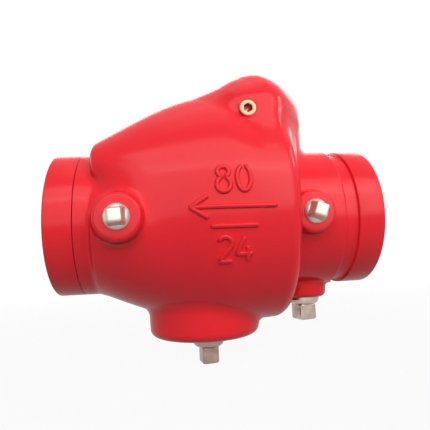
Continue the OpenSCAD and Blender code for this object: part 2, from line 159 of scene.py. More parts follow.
def noise(tree, scale, detail):
    """Noise from 0 to 1, with about scale swells to the metre and detail finer layers on them."""
    made = add_node(tree, "ShaderNodeTexNoise", Vector=object_space(tree), Scale=scale,
                    Detail=detail)
    return made.outputs["Fac"]


def drifting_colour(tree, value, tones, ends=(0.0, 1.0)):
    """Colour that runs from the first hex tone to the second while a value runs between ends."""
    ramp = add_node(tree, "ShaderNodeValToRGB", Fac=value)
    for stop, end, tone in zip(ramp.color_ramp.elements, ends, tones):
        stop.position, stop.color = end, linear(tone)
    return ramp.outputs["Color"]


def dented(tree, height, strength, depth, **under):
    """Surface normal with bumps up to depth metres high; under may give the Normal below them."""
    made = add_node(tree, "ShaderNodeBump", Height=height, Strength=strength, Distance=depth,
                    **under)
    return made.outputs["Normal"]


def clouded(name, tones, roughness, metallic, cloud, grain, dents):
    """Material whose colour drifts between two hex tones, and whose roughness drifts between two
    values with it. cloud is the (scale, detail) of that drift, grain the scale of the surface's
    fine unevenness, and dents the (strength, depth in metres) of that."""
    material, tree = new_material(name)
    drift = noise(tree, *cloud)
    rough = add_node(tree, "ShaderNodeMapRange", Value=drift, To_Min=roughness[0],
                     To_Max=roughness[1])
    shader = add_node(tree, "ShaderNodeBsdfPrincipled", Metallic=metallic,
                      Base_Color=drifting_colour(tree, drift, tones),
                      Roughness=rough.outputs["Result"],
                      Normal=dented(tree, noise(tree, grain, 4.0), *dents))
    finish_material(tree, shader)
    return material


# %% [markdown]
# ## Stage and light
# The photograph is a plain cut-out on white. A pale floor and a backdrop give that: to the camera
# and in reflections they are white, and the floor keeps a faint shadow under the object. Large soft
# lamps stand in front and behind, smaller ones at the sides, and a weak one hangs above.

# %% Stage
WHITE = (1, 1, 1, 1)
UNDER_VALVE = (-0.098, 0.0, -0.094)
SHADE_FROM, SHADE_TO = 0.2, 0.7  # metres from there, over which the floor's shading fades out
FLOOR_GAP = 0.0004
STAGE_REACH = 4


def stage_material(name, tone, near_share):
    """Pale matt surface that is white to the camera, in gloss and through glass. near_share is how
    much of its shading that hides near the object; further off, all of it goes."""
    material, tree = new_material(name)
    away = add_node(tree, "ShaderNodeVectorMath", {"operation": "DISTANCE"}, i0=object_space(tree),
                    i1=UNDER_VALVE)
    hidden = add_node(tree, "ShaderNodeMapRange", Value=away.outputs["Value"], From_Min=SHADE_FROM,
                      From_Max=SHADE_TO, To_Min=near_share, To_Max=1.0)
    share = calculated(tree, "MULTIPLY", seen_directly(tree), hidden.outputs["Result"])
    matt = add_node(tree, "ShaderNodeBsdfDiffuse", Color=linear(tone), Roughness=1.0)
    white = add_node(tree, "ShaderNodeEmission", Color=WHITE, Strength=1.0)
    both = add_node(tree, "ShaderNodeMixShader", i0=share, i1=matt.outputs[0], i2=white.outputs[0])
    finish_material(tree, both)
    return material


def flat_piece(name, corners, material):
    """A flat four-cornered piece of the stage."""
    mesh = bpy.data.meshes.new(name)
    mesh.from_pydata(corners, [], [(0, 1, 2, 3)])
    made = bpy.data.objects.new(name, mesh)
    scene.collection.objects.link(made)
    mesh.materials.append(material)


floor_z, far = cad_lo.z - FLOOR_GAP, STAGE_REACH
back_edge = [(-far, far, floor_z), (far, far, floor_z)]
flat_piece("floor", [(-far, -far, floor_z), (far, -far, floor_z), *back_edge[::-1]],
           stage_material("pale_floor", "#8c8c8c", 0.94))
flat_piece("backdrop", [*back_edge, (far, far, far), (-far, far, far)],
           stage_material("white_backdrop", "#ffffff", 1.0))


# %% Lamps
MIDDLE = (-0.098, 0.0, 0.0)


def soft_lamp(name, place, width, height, watts):
    """A rectangular soft box, aimed at the middle of the valve."""
    lamp = bpy.data.lights.new(name, "AREA")
    lamp.shape = "RECTANGLE"
    lamp.size, lamp.size_y = width, height
    lamp.energy = watts
    made = bpy.data.objects.new(name, lamp)
    scene.collection.objects.link(made)
    back = np.array(place, float) - np.array(MIDDLE, float)
    back /= np.linalg.norm(back)
    side = np.cross((0, 0, 1), back)
    side /= np.linalg.norm(side)
    made.matrix_world = place_and_turn(place, side, np.cross(back, side), back)


SKY_STRENGTH = 0.04
LAMPS = {  # place, width, height and watts
    "key_lamp": ((-0.03, -0.92, 0.98), 1.9, 0.6, 9.2),
    "front_lamp": ((-0.098, -1.31, 0.26), 2.4, 1.4, 18),
    "right_lamp": ((0.72, -0.937, 0.52), 1.0, 1.0, 4.6),
    "side_lamp": ((1.03, -0.06, 0.74), 0.3, 0.3, 1.8),
    "left_lamp": ((-1.3, 0.5, 0.15), 1.0, 1.0, 5),
    "top_lamp": ((-0.098, 0.05, 1.35), 0.8, 0.8, 1.0),
    "back_lamp": ((0.1, 1.25, 0.4), 1.6, 1.2, 13),
}
for name, settings in LAMPS.items():
    soft_lamp(name, *settings)
world = bpy.data.worlds.new("studio")
scene.world = world
world.use_nodes = True
world.node_tree.nodes.clear()
dim = add_node(world.node_tree, "ShaderNodeBackground", Color=WHITE, Strength=SKY_STRENGTH)
plain = add_node(world.node_tree, "ShaderNodeBackground", Color=WHITE, Strength=1.0)
both = add_node(world.node_tree, "ShaderNodeMixShader", i0=seen_directly(world.node_tree),
                i1=dim.outputs[0], i2=plain.outputs[0])
add_node(world.node_tree, "ShaderNodeOutputWorld", Surface=both.outputs[0])
scene.view_settings.view_transform = "Standard"
print("stage and", len(LAMPS), "lamps ready")


# %% [markdown]
# ## Surfaces as grids
# A surface is a grid of points: rows along one parameter, columns along the other. Where a whole
# row falls on one point, such as a pole, the equal points are merged, so every piece is closed. Its
# signed volume says whether the faces point outwards.

# %% Grid surfaces
def grid_faces(rows, cols, wrap_rows, wrap_cols):
    """Four corner numbers of each cell of a grid. A wrapped direction joins its last line to its
    first."""
    r = np.arange(rows if wrap_rows else rows - 1)
    c = np.arange(cols if wrap_cols else cols - 1)
    r, c = np.meshgrid(r, c, indexing="ij")
    r2, c2 = (r + 1) % rows, (c + 1) % cols
    return np.stack([r * cols + c, r * cols + c2, r2 * cols + c2, r2 * cols + c], -1).reshape(-1, 4)


def merged(points, quads):
    """Merges equal points. Returns the points, the full quads, and the triangles that are left
    where two corners fell together."""
    _, first, inverse = np.unique(np.round(points, 9), axis=0, return_index=True,
                                  return_inverse=True)
    quads = inverse.reshape(-1)[quads]
    same = quads == np.roll(quads, -1, axis=1)
    full = quads[~same.any(1)]
    one = same.sum(1) == 1
    short, twin = quads[one], same[one].argmax(1)
    take = (twin[:, None] + np.array([1, 2, 3])) % 4
    return points[first], full, np.take_along_axis(short, take, 1)


def signed_volume(points, quads, tris):
    """Volume by the divergence theorem: the sum of a.(b x c)/6 over the triangles."""
    t = np.concatenate([quads[:, [0, 1, 2]], quads[:, [0, 2, 3]], tris])
    a, b, c = points[t[:, 0]], points[t[:, 1]], points[t[:, 2]]
    return float(np.einsum("ij,ij->i", a, np.cross(b, c)).sum() / 6)


def make_piece(name, points, quads, material, body):
    """Puts points in millimetres and quads into a mesh that rides on a body, when one is given."""
    points, quads, tris = merged(np.asarray(points, float).reshape(-1, 3) * MM, quads)
    if signed_volume(points, quads, tris) < 0:
        quads, tris = quads[:, ::-1], tris[:, ::-1]
    mesh = bpy.data.meshes.new(name)
    loops = np.concatenate([quads.reshape(-1), tris.reshape(-1)]).astype(np.int32)
    starts = np.concatenate([np.arange(len(quads)) * 4, len(quads) * 4 + np.arange(len(tris)) * 3])
    mesh.vertices.add(len(points))
    mesh.vertices.foreach_set("co", points.astype(np.float32).reshape(-1))
    mesh.loops.add(len(loops))
    mesh.loops.foreach_set("vertex_index", loops)
    mesh.polygons.add(len(starts))
    mesh.polygons.foreach_set("loop_start", starts.astype(np.int32))
    mesh.update(calc_edges=True)
    mesh.validate()
    mesh.polygons.foreach_set("use_smooth", np.full(len(mesh.polygons), True))
    mesh.materials.append(material)
    made = bpy.data.objects.new(name, mesh)
    scene.collection.objects.link(made)
    if body:
        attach(made, body)
    print(f"{name}: {2 * len(quads) + len(tris)} triangles")
    return made


def softened(profile, radius, steps=4, closed=False):
    """Rounds the corners of a profile: each becomes a quadratic curve that starts and ends radius
    away from it, or less where the line is short. An open profile keeps its two end points."""
    p = np.array(profile, float)
    line = np.concatenate([p[-1:], p, p[:1]]) if closed else p
    corner = line[1:-1]
    before, after = line[:-2] - corner, line[2:] - corner
    lb, la = np.linalg.norm(before, axis=1), np.linalg.norm(after, axis=1)
    cut = np.minimum(np.minimum(lb, la) * 0.45, radius)[:, None]
    a = corner + before / lb[:, None] * cut
    b = corner + after / la[:, None] * cut
    t = np.linspace(0, 1, steps)[None, :, None]
    curve = (1 - t) ** 2 * a[:, None] + 2 * t * (1 - t) * corner[:, None] + t**2 * b[:, None]
    curve = curve.reshape(-1, p.shape[1])
    return curve if closed else np.concatenate([p[:1], curve, p[-1:]])


def round_angles(columns):
    """Angles in even steps once round an axis."""
    return np.linspace(0, 2 * math.pi, columns, endpoint=False)


def ring_about(axis, side, angle):
    """Unit vectors square to an axis, which start at side and turn by each angle."""
    return np.cos(angle)[:, None] * side + np.sin(angle)[:, None] * np.cross(axis, side)


def turned(profile, axis_point, axis, columns=128):
    """A profile of (distance along the axis, radius) turned about an axis through a point."""
    axis = np.array(axis, float)
    side = np.cross(axis, (0.0, 0.0, 1.0) if abs(axis[2]) < 0.9 else (1.0, 0.0, 0.0))
    side /= np.linalg.norm(side)
    ring = ring_about(axis, side, round_angles(columns))
    profile = np.array(profile, float)[:, None]
    return np.array(axis_point, float) + profile[..., :1] * axis + profile[..., 1:] * ring


# %% [markdown]
# ## The casing's form
# The real casing is one ductile-iron casting: an oval belly that swells from the outlet shoulder, a
# wall at the inlet end, a neck, and a hump that houses the hinge. Cut-up solids would leave hard
# creases between them, so the form is one function of space: below zero is iron, above zero is air.
# Smooth minimums and true-radius maximums of simple forms give the fillets and the rounded edges
# that a pattern maker would put there.

# %% Values of the casing, in millimetres
FACE_TO_FACE = 196.0
LAND_R, GROOVE_R, BORE_R = 44.45, 42.45, 38.5
LAND_W, GROOVE_END = 15.9, 23.9
SHOULDER_X, BELLY_X, END_WALL_X = -171.4, -91.0, -54.0
SHOULDER_R, RIM_R, WALL = 2.5, 9.0, 6.5
CHAMBER_END_X, CHAMBER_RIM_R = -51.5, 12.0  # a thinner end wall inside leaves the clapper room
NECK_X, NECK_R, SEAT_BORE_R, FLANGE_X = -75.0, 45.0, 37.05, -46.0
PIPE_X, PIPE_RUN, PIPE_DRAFT, PIPE_END_X, BORE_END_X = -172, 30, 0.04, -142, -155  # outlet's pipe
SHAFT_X, SHAFT_Z, PLUG_FLOOR_Y, POCKET_R = -80.0, 61.3, 41.0, 4.15

# Fillets where the forms meet, outside and then in the chamber
HUMP_FILLET, HUMP_FILLET_RUN, NECK_FILLET, PIPE_FILLET = (3, 3), 14, 4, 2.5
CHAMBER_FILLET, BORE_FILLET, SEAT_FILLET = 8, 2, 1

# Belly: (size at the shoulder, growth from there to the full belly)
TOP, BOTTOM = (50.5, 33), (44, 22)
LOW_MID, HIGH_MID = (-5, 7), (32, -22)
LOW_HALF, HIGH_HALF = (44.8, 16.2), (41, 20)
VALLEY = 6  # size of the fillet between the two ovals
CROWN_STEP_X, CROWN_STEP_RUN, CROWN_STEP = -97, 24, 9  # the crown sinks under the hump
CROWN_DRAW, SIDE_DRAW = 4.2, 1.2  # drawn in towards the end wall

# Hump: its head and its tail seen from the side, then the two faces across
HUMP_X, HUMP_Z, HUMP_R, HUMP_STRETCH = -68.4, 68.6, 28.7, 0.952
TAIL_X, TAIL_Z, TAIL_R = -102.0, 67.5, 13.5
FOOT_Z, FLARE, FLARE_RUN, CORNER, TAIL_FILLET = 20, 0.6, 45, 1.3, 4
FACE_Y, FACE_LEAN, INLET_TAPER = 46.9, 0.25, 0.06
FOOT_LEAN, FOOT_LEAN_RUN, FOOT_END_X, FOOT_END_RUN = 0.3, 24, -46, 16
TAIL_BEND_X, TAIL_BEND, TAIL_SLOPE = -88, 4, 0.9
CROWN_LIFT, CROWN_EASE = 0.45, 5
DEEP, WIDE, POWER = (28, -9), (40, -8), (2, -0.8)  # (at the tail's side, change to the inlet's)

TINY = 1e-9  # keeps a division by zero away


# %% Smooth joins
def soft_min(a, b, k):
    """Smaller of two distances, with a fillet of size k where they meet: min(a, b) - k*h*h/4, where
    h = 1 - |a - b|/k."""
    h = np.maximum(k - np.abs(a - b), 0) / k
    return np.minimum(a, b) - h * h * k / 4


def round_max(a, b, r):
    """Larger of two distances, with an edge of true radius r."""
    return np.minimum(np.maximum(a, b), -r) + np.hypot(np.maximum(a + r, 0), np.maximum(b + r, 0))


def share_of(value, start, run):
    """How far a value has come from start, as a share of run, kept between 0 and 1."""
    return np.clip((value - start) / run, 0, 1)


def grown(pair, share):
    """First value of a pair, plus a share of the second."""
    return pair[0] + pair[1] * share


# %% Belly
def oval(u, v, a, b):
    """Distance to an ellipse, to first order: (k - 1)*k/|gradient|, where k is the length of
    (u/a, v/b)."""
    k = np.hypot(u / a, v / b) + TINY
    return (k - 1) * k / (np.hypot(u / a**2, v / b**2) + TINY)


def belly_form(x, y, z, inset, end, rim):
    """Distance to two ovals joined by a fillet. Their sizes rise from shoulder to belly as a
    quarter sine wave. The lower oval carries on from the outlet, the upper one bulges out over it,
    and the valley between them runs out where both reach the belly's full width. end and rim are
    the end wall's place and the radius of its rim."""
    rise = np.sin(np.pi / 2 * share_of(x, SHOULDER_X, BELLY_X - SHOULDER_X))
    draw = share_of(x, BELLY_X, end - rim - BELLY_X) ** 1.5
    step = share_of(x, CROWN_STEP_X, CROWN_STEP_RUN)
    step = step * step * (3 - 2 * step)
    top = grown(TOP, rise) - CROWN_DRAW * draw - CROWN_STEP * step
    bottom = grown(BOTTOM, rise) - SIDE_DRAW * draw
    low_mid, high_mid = grown(LOW_MID, rise), grown(HIGH_MID, rise)
    low_half = grown(LOW_HALF, rise**0.65) - SIDE_DRAW * draw - inset
    high_half = grown(HIGH_HALF, rise**0.75) - SIDE_DRAW * draw - inset
    low = oval(y, z - low_mid, low_half, bottom + low_mid - inset)
    high = oval(y, z - high_mid, high_half, top - high_mid - inset)
    form = round_max(soft_min(low, high, VALLEY), x - (end - inset), rim - inset / 2)
    return round_max(form, SHOULDER_X + inset * 0.6 - x, SHOULDER_R)


# %% Hump
def hump_outline(x, z):
    """Distance to the hump seen from the side: an upright slot shape that flares to its foot and is
    a little squarer at its corners, joined to a cone of circles that shrink to the tail. The second
    value is the radius of the cone there as a share of the hump's radius."""
    u = (x - HUMP_X) * HUMP_STRETCH
    up = z - np.clip(z, FOOT_Z, HUMP_Z)
    flare = FLARE * np.clip((HUMP_Z - z) / FLARE_RUN, 0, 1)
    corner = CORNER * np.clip(2 * u * up / (u * u + up * up + TINY), 0, 1)
    upright = np.hypot(u, up) - HUMP_R - flare - corner
    du, dz = (TAIL_X - HUMP_X) * HUMP_STRETCH, TAIL_Z - HUMP_Z
    length = math.hypot(du, dz)
    along = (u * du + (z - HUMP_Z) * dz) / length
    off = np.abs(u * dz - (z - HUMP_Z) * du) / length
    m = (HUMP_R - TAIL_R) / length
    t = np.clip(along - m * off / math.sqrt(1 - m * m), 0, length)
    tail = np.hypot(along - t, off) - (HUMP_R - m * t)
    return soft_min(upright, tail, TAIL_FILLET), 1 - m * t / HUMP_R


def hump_form(x, y, z, inset):
    """Distance to the hump. Its outline and its two leaning faces meet in a wide rounding: the
    curve u^p + v^p = 1, where u and v run from 0 to 1 over the rounding's depth and width. p is 2
    on top, a true ellipse, and falls to 1.2 at the inlet side, where the photograph shows a flat
    band between two tighter edges. The place across is sqrt(y^2 + CROWN_EASE^2), which leaves no
    ridge on the crown, and CROWN_LIFT gives back the height that this costs."""
    tail_draw = TAIL_SLOPE * np.logaddexp(0, (TAIL_BEND_X - x) / TAIL_BEND) * TAIL_BEND
    taper = INLET_TAPER * np.maximum(x - SHAFT_X, 0)
    foot = FOOT_LEAN * np.clip(SHAFT_Z - z, 0, FOOT_LEAN_RUN)
    foot = foot * np.clip((FOOT_END_X - x) / FOOT_END_RUN, 0, 1)
    half = FACE_Y - FACE_LEAN * np.maximum(z - SHAFT_Z, 0) + foot - taper - tail_draw
    out, size = hump_outline(x, z)
    right = share_of(x, HUMP_X, HUMP_R)
    deep, wide = grown(DEEP, right**2) * size, grown(WIDE, right) * size
    p = grown(POWER, np.sin(np.pi / 2 * right))
    u = np.maximum((out - CROWN_LIFT * (1 - right) * size**2 + inset) / deep + 1, 1e-6)
    v = np.maximum((np.hypot(y, CROWN_EASE) - half + inset) / wide + 1, 1e-6)
    k = (u**p + v**p) ** (1 / p)
    return (k - 1) * k ** (p - 1) / np.hypot(u ** (p - 1) / deep, v ** (p - 1) / wide)


# %% Whole casing, outside and chamber
def casing_form(x, y, z):
    """Distance to the outside of the casing, without the grooved ends and the bosses. The outlet's
    pipe swells a little up to the shoulder. A pocket on the hinge's axis keeps the iron out of the
    socket of the shaft's plug, which covers the pocket's edge."""
    r = np.hypot(y, z)
    form = belly_form(x, y, z, 0, END_WALL_X, RIM_R)
    fillet = grown(HUMP_FILLET, np.clip((SHAFT_X - x) / HUMP_FILLET_RUN, 0, 1))
    form = soft_min(form, hump_form(x, y, z, 0), fillet)
    form = soft_min(form, np.maximum(r - NECK_R, NECK_X - x), NECK_FILLET)
    pipe = r - LAND_R - PIPE_DRAFT * np.clip(x - PIPE_X, 0, PIPE_RUN)
    form = soft_min(form, np.maximum(pipe, x - PIPE_END_X), PIPE_FILLET)
    shaft_r = np.hypot(x - SHAFT_X, z - SHAFT_Z)
    return np.maximum(form, -np.maximum(shaft_r - POCKET_R, PLUG_FLOOR_Y - np.abs(y)))


def chamber_form(x, y, z):
    """Distance to the hollow inside: belly and hump drawn in by the wall, with the outlet's bore
    and the seat's bore."""
    r = np.hypot(y, z)
    form = belly_form(x, y, z, WALL, CHAMBER_END_X, CHAMBER_RIM_R)
    form = soft_min(form, hump_form(x, y, z, WALL), CHAMBER_FILLET)
    form = soft_min(form, np.maximum(r - BORE_R, x - BORE_END_X), BORE_FILLET)
    return soft_min(form, np.maximum(r - SEAT_BORE_R, NECK_X - x), SEAT_FILLET)


def along_rays(form, start, ray, reach=240.0, halvings=34):
    """Where rays leave a form, by halving the interval from 0 to reach. start and ray are arrays of
    points and of unit vectors."""
    near_t, far_t = np.zeros(ray.shape[:-1]), np.full(ray.shape[:-1], reach)
    for _ in range(halvings):
        mid = (near_t + far_t) / 2
        p = start + mid[..., None] * ray
        inside = form(p[..., 0], p[..., 1], p[..., 2]) < 0
        near_t, far_t = np.where(inside, mid, near_t), np.where(inside, far_t, mid)
    return start + ((near_t + far_t) / 2)[..., None] * ray


# %% [markdown]
# ## The casing's skin
# Rays leave the pipe's axis like the sticks of a fan. The fan leans back at the outlet shoulder and
# forward at the end wall, so that no wall lies along its rays. Where each ray leaves the form is
# one point of the grid. The rays stand closer together at the hump's two shoulders. Plain rings
# continue the grid over grooves, lands, faces and bores, and the last row meets the first: one
# closed skin.

# %% Fan of rays
def fan(stops, angle):
    """Rays for each stop (place on the axis, lean in degrees) and each angle round the axis."""
    lean = np.radians(stops[:, 1])
    start = np.zeros((len(stops), len(angle), 3))
    start[..., 0] = stops[:, :1]
    forward = np.broadcast_to(np.sin(lean)[:, None], start.shape[:2])
    out = np.cos(lean)[:, None]
    return start, np.stack([forward, out * np.cos(angle), out * np.sin(angle)], -1)


def stops_through(corners, counts):
    """Stops in even steps from corner to corner; the shared corners are taken once."""
    parts = [np.linspace(a, b, n, endpoint=False)
             for a, b, n in zip(corners[:-1], corners[1:], counts)]
    return np.concatenate([*parts, np.array(corners[-1:])])


COLUMNS = 256
CROWD_AT, CROWD_SPREAD, CROWDING = (62, 118), 11, 1.3  # degrees, degrees, share added
OUTER_CORNERS = [(-130, -48.3), (-130, -43), (-130, 0), (-100, 0), (-100, 52), (-82.2, 52)]
INNER_CORNERS = [(-100, 48.3), (-100, 0), (-130, 0), (-130, -44)]

even = np.linspace(0, 2 * math.pi, 4001)
off = [(even - math.radians(a)) / math.radians(CROWD_SPREAD) for a in CROWD_AT]
weight = 1 + CROWDING * sum(np.exp(-(o**2)) for o in off)
total = np.concatenate([[0], np.cumsum((weight[1:] + weight[:-1]) / 2)])
ring_angle = np.interp(np.linspace(0, total[-1], COLUMNS, endpoint=False), total, even)

outer_stops = stops_through(OUTER_CORNERS, [22, 52, 26, 112, 22])
inner_stops = stops_through(INNER_CORNERS, [34, 12, 26])
outer = along_rays(casing_form, *fan(outer_stops, ring_angle))
inner = along_rays(chamber_form, *fan(inner_stops, ring_angle))
for side, part in (("outer", outer), ("inner", inner)):
    print(side, "rows", len(part), "from x", part[0, :, 0].mean().round(1), "to",
          part[-1, :, 0].mean().round(1))


# %% Rings over the ends and bores
def rings(profile, angle):
    """Plain rings of (x, radius) about the pipe's axis, as grid rows."""
    profile = np.array(profile, float)
    x = np.broadcast_to(profile[:, :1], (len(profile), len(angle)))
    return np.stack([x, profile[:, 1:] * np.cos(angle), profile[:, 1:] * np.sin(angle)], -1)


def end_profile(face_x, way):
    """Profile of one grooved end, from its bore to behind the groove. way is +1 where the pipe
    leads to +X."""
    line = softened([(4, BORE_R), (0, BORE_R), (0, LAND_R), (LAND_W, LAND_R), (LAND_W, GROOVE_R),
                     (GROOVE_END, GROOVE_R), (GROOVE_END, LAND_R - 0.2)], 0.9)
    return np.stack([face_x - way * line[:, 0], line[:, 1]], 1)


outlet_end = rings(end_profile(-FACE_TO_FACE, -1), ring_angle)
inlet_end = rings(end_profile(0.0, 1)[::-1], ring_angle)
seat_bore = rings(softened([(-4.2, BORE_R), (FLANGE_X, BORE_R), (FLANGE_X, SEAT_BORE_R),
                            (-57, SEAT_BORE_R)], 0.3), ring_angle)
casing_rows = np.concatenate([outlet_end, outer, inlet_end, seat_bore, inner])
print("casing grid", casing_rows.shape)

# %% [markdown]
# ## Red enamel
# The casting is dipped or sprayed with glossy red enamel. Under the paint the sand mould leaves a
# faint unevenness a few millimetres wide, and the paint itself has a fine orange peel. The colour
# is the photograph's middle tone. Enamel is a clear dielectric layer, so it is a plastic-like
# shader with a coat, not a metal.


# %% Enamel
def enamel():
    """Glossy red paint, whose tone drifts a little over the casing."""
    material, tree = new_material("red_enamel_on_cast_iron")
    swell = dented(tree, noise(tree, 90.0, 2.0), 0.06, 0.002)
    peel = dented(tree, noise(tree, 700.0, 3.0), 0.04, 0.0004, Normal=swell)
    red = drifting_colour(tree, noise(tree, 14.0, 2.0), ("#e01c27", "#e6212e"), (0.3, 0.7))
    paint = add_node(tree, "ShaderNodeBsdfPrincipled", Base_Color=red, Roughness=0.45,
                     Specular_IOR_Level=0.02, Coat_Weight=0.38, Coat_Roughness=0.17, Normal=peel)
    finish_material(tree, paint)
    return material


ENAMEL = enamel()
casing = make_piece("casing_skin", casing_rows, grid_faces(len(casing_rows), COLUMNS, True, True),
                    ENAMEL, "casing")
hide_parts("body")

# %% [markdown]
# ## Bosses
# Four ports are tapped into round bosses. Each boss is turned about its own axis: a flat face, a
# rounded edge, a wall with a little draft, and a cast fillet that runs out on the casing. The foot
# follows the casing, so its height is measured on the casing's form for every angle, and the boss
# closes inside the wall.

# %% Bosses
SIDEWAYS = np.array([1.0, 0.0, 0.0])
DRAFT = 0.3


def boss(name, centre, way, face_h, radius, edge, fillet, columns=144):
    """Round boss on a port. centre is its axis on the mid-plane, way the direction out, and face_h
    the height of its face. The fillet is a quadratic curve from the wall to the casing, and the
    rows after it dip under the casing's surface."""
    centre, way = np.array(centre, float), np.array(way, float)
    ring = ring_about(way, SIDEWAYS, round_angles(columns))
    all_round = np.ones(columns)

    def casing_height(rho):
        """Height of the casing's surface on a circle of radius rho."""
        start = centre + (rho * all_round)[:, None] * ring
        return (along_rays(casing_form, start, np.broadcast_to(way, start.shape)) - start) @ way

    top, wall_r, fillet_r = face_h - edge, radius + DRAFT, radius + fillet
    wall_foot = np.minimum(casing_height(wall_r), top - fillet * 0.6)
    skirt = np.minimum(casing_height(fillet_r), top - fillet * 0.3)
    wall_end = np.minimum(wall_foot + fillet, top - 0.2)
    rows = [(rho, face_h) for rho in (0, radius * 0.5, radius - edge)]
    rows += [(radius - edge + edge * math.sin(a), top + edge * math.cos(a))
             for a in np.radians([15, 30, 45, 60, 75, 90])]
    rows += [(radius + DRAFT * t, top + (wall_end - top) * t) for t in (0.35, 0.7)]
    for t in np.linspace(0, 1, 8):
        rho = (1 - t) ** 2 * wall_r + 2 * t * (1 - t) * wall_r + t**2 * fillet_r
        high = (1 - t) ** 2 * wall_end + 2 * t * (1 - t) * wall_foot + t**2 * skirt
        rows.append((rho, high - 0.12 * t))
    rows += [(rho, np.minimum(casing_height(rho), top) - sink)
             for rho, sink in ((fillet_r + 1.2, 0.5), (fillet_r, 2.2), (radius * 0.6, 3.0))]
    rows.append((0, (casing_height(1.0) - 3.0).mean()))
    points = [centre + (rho * all_round)[:, None] * ring + (high * all_round)[:, None] * way
              for rho, high in rows]
    make_piece(name, points, grid_faces(len(rows), columns, False, True), ENAMEL, "casing")


FRONT, DOWN = (0, -1, 0), (0, 0, -1)
boss("outlet_gauge_boss", (-154, 0, -1.5), FRONT, 61, 13, 2.4, 6.0)
boss("inlet_gauge_boss", (-46, 0, -1), FRONT, 53, 12.1, 2.0, 3.0)
boss("drain_boss", (-106.5, 0, 0), DOWN, 73, 35.2, 5, 5)
boss("inlet_drain_boss", (-39, 0, 0), DOWN, 53, 14.8, 3, 3)

# %% [markdown]
# ## Plugs
# Square-head pipe plugs are forged or turned from bar and zinc plated. A round collar runs down to
# the thread, the head is a square with rounded corners, and its crown is chamfered so that a wrench
# finds it. One grid carries the round collar into the square head: its radius is a function of
# height and of the angle round the axis. The plate's colour drifts in clouds a few millimetres
# wide, and the chalky film on bright old plate makes it a little less metallic.


# %% Zinc plate
def zinc_plate(name, tones, roughness, metallic=1.0):
    """Zinc plate between two tones and two values of roughness."""
    return clouded(name, tones, roughness, metallic, (160.0, 2.0), 900.0, (0.15, 0.0002))


ZINC = zinc_plate("bright_zinc_plate_on_steel", ("#a8a297", "#dad5cb"), (0.32, 0.5), 0.7)
# Darker, browner copies of the zinc plate for the two plugs that point down under the casing:
# painted shade in their colour
ZINC_WITH_PAINTED_SHADE = zinc_plate("zinc_plate_with_painted_shade", ("#846a60", "#b39b91"), (0.22, 0.4))
ZINC_WITH_SOFTER_PAINTED_SHADE = zinc_plate("zinc_plate_with_softer_painted_shade", ("#8f7a6e", "#d9cabd"), (0.2, 0.36))
YELLOW_ZINC = zinc_plate("yellow_passivated_zinc_plate", ("#8a6c54", "#a88f78"), (0.22, 0.4))

# %% Square-head plug
SQUARE, CROWN_ROUNDING = 14, 8  # power of the head's outline, and how much it falls on the crown
CORNER_TRIM = 1.29  # the corners' radius as a share of the half width
CROWN_SHARE = 0.13  # the crown's height as a share of the width


def square_plug(name, foot, way, turn_deg, thread_r, collar, head, widths, shank, finish, bulge=1.3,
                columns=160):
    """Plug that stands on foot. collar is (height of its round edge, height of its top, radius of
    its top), and between the two its radius falls as the power curve t^bulge. head is the height
    of the square head. The head's radius at angle b is half/(|cos b|^n + |sin b|^n)^(1/n), trimmed
    by a circle. Its half width runs from widths[0]/2 at the foot to widths[1]/2 at the face, and n
    falls on the crown."""
    foot, way = np.array(foot, float), np.array(way, float)
    angle = round_angles(columns)
    ring = ring_about(way, SIDEWAYS, angle)
    local = angle - math.radians(turn_deg)

    def squared(half, n):
        """Radius of the rounded square at each angle."""
        reach = half / (np.abs(np.cos(local)) ** n + np.abs(np.sin(local)) ** n) ** (1 / n)
        return np.minimum(reach, half * CORNER_TRIM)

    edge_h, top_h, top_r = collar
    edge_r = thread_r - 0.3
    low, high = widths[0] / 2, widths[1] / 2
    end = top_h + head
    rows = [(-shank, 0.0), (-shank, thread_r - 0.6), (-shank + 0.6, thread_r),
            (edge_h - 0.5, thread_r), (edge_h - 0.2, thread_r - 0.06)]
    rows += [(edge_h + t * (top_h - edge_h), edge_r - (edge_r - top_r) * t**bulge)
             for t in (0, 0.2, 0.4, 0.6, 0.75, 0.87, 0.96, 1)]
    rows = [(h, np.full(columns, r)) for h, r in rows]
    rows.append((top_h + 0.02, squared(low + 0.15, SQUARE)))
    rows += [(top_h + t * head, squared(low + (high - low) * t, SQUARE)) for t in (0.05, 0.3, 0.6)]
    crown = CROWN_SHARE * widths[1]
    for a in np.radians([0, 20, 40, 60, 78, 90]):
        drop, draw = crown * (1 - math.sin(a)), crown * (1 - math.cos(a))
        half = low + (high - low) * (1 - drop / head) - draw
        rows.append((end - drop, squared(half, SQUARE - CROWN_ROUNDING * math.sin(a))))
    rows += [(end, squared(high * 0.4, 5)), (end, np.zeros(columns))]
    points = [foot + r[:, None] * ring + h * way for h, r in rows]
    made = make_piece(name, points, grid_faces(len(points), columns, False, True), finish, "casing")
    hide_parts(name.replace("_finished", ""))


GAUGE = dict(thread_r=6.85, collar=(1.2, 2.6, 5.3), head=7.2, widths=(9.4, 6.8), shank=8,
             finish=ZINC)
square_plug("outlet_gauge_plug_finished", (-154, -61, -1.5), FRONT, 4, **GAUGE)
square_plug("inlet_gauge_plug_finished", (-46, -53, -1), FRONT, 70, **GAUGE)
# The two drain plugs take the zinc copies with painted shade
square_plug("drain_plug_finished", (-104.5, 0, -73), DOWN, -11, 10.4, (4.05, 9.0, 6.05), 10,
            (10.8, 10.8), 12, ZINC_WITH_PAINTED_SHADE, 3.5)
square_plug("inlet_drain_plug_finished", (-39, 0, -53), DOWN, -16, 10.4, (2.35, 5.2, 6.8), 10,
            (12.2, 12.2), 9, ZINC_WITH_SOFTER_PAINTED_SHADE, 2.5)

# %% [markdown]
# ## Raised marks
# The pattern maker's raised marks stand on the front of the belly. The photograph's words are not
# copied. In their place stand marks that any such casting may have: a size number, an arrow for the
# flow, a bar and a cavity number. Each stroke is a low rounded ridge carried along a line, and
# every point of it is set on the casing's form.


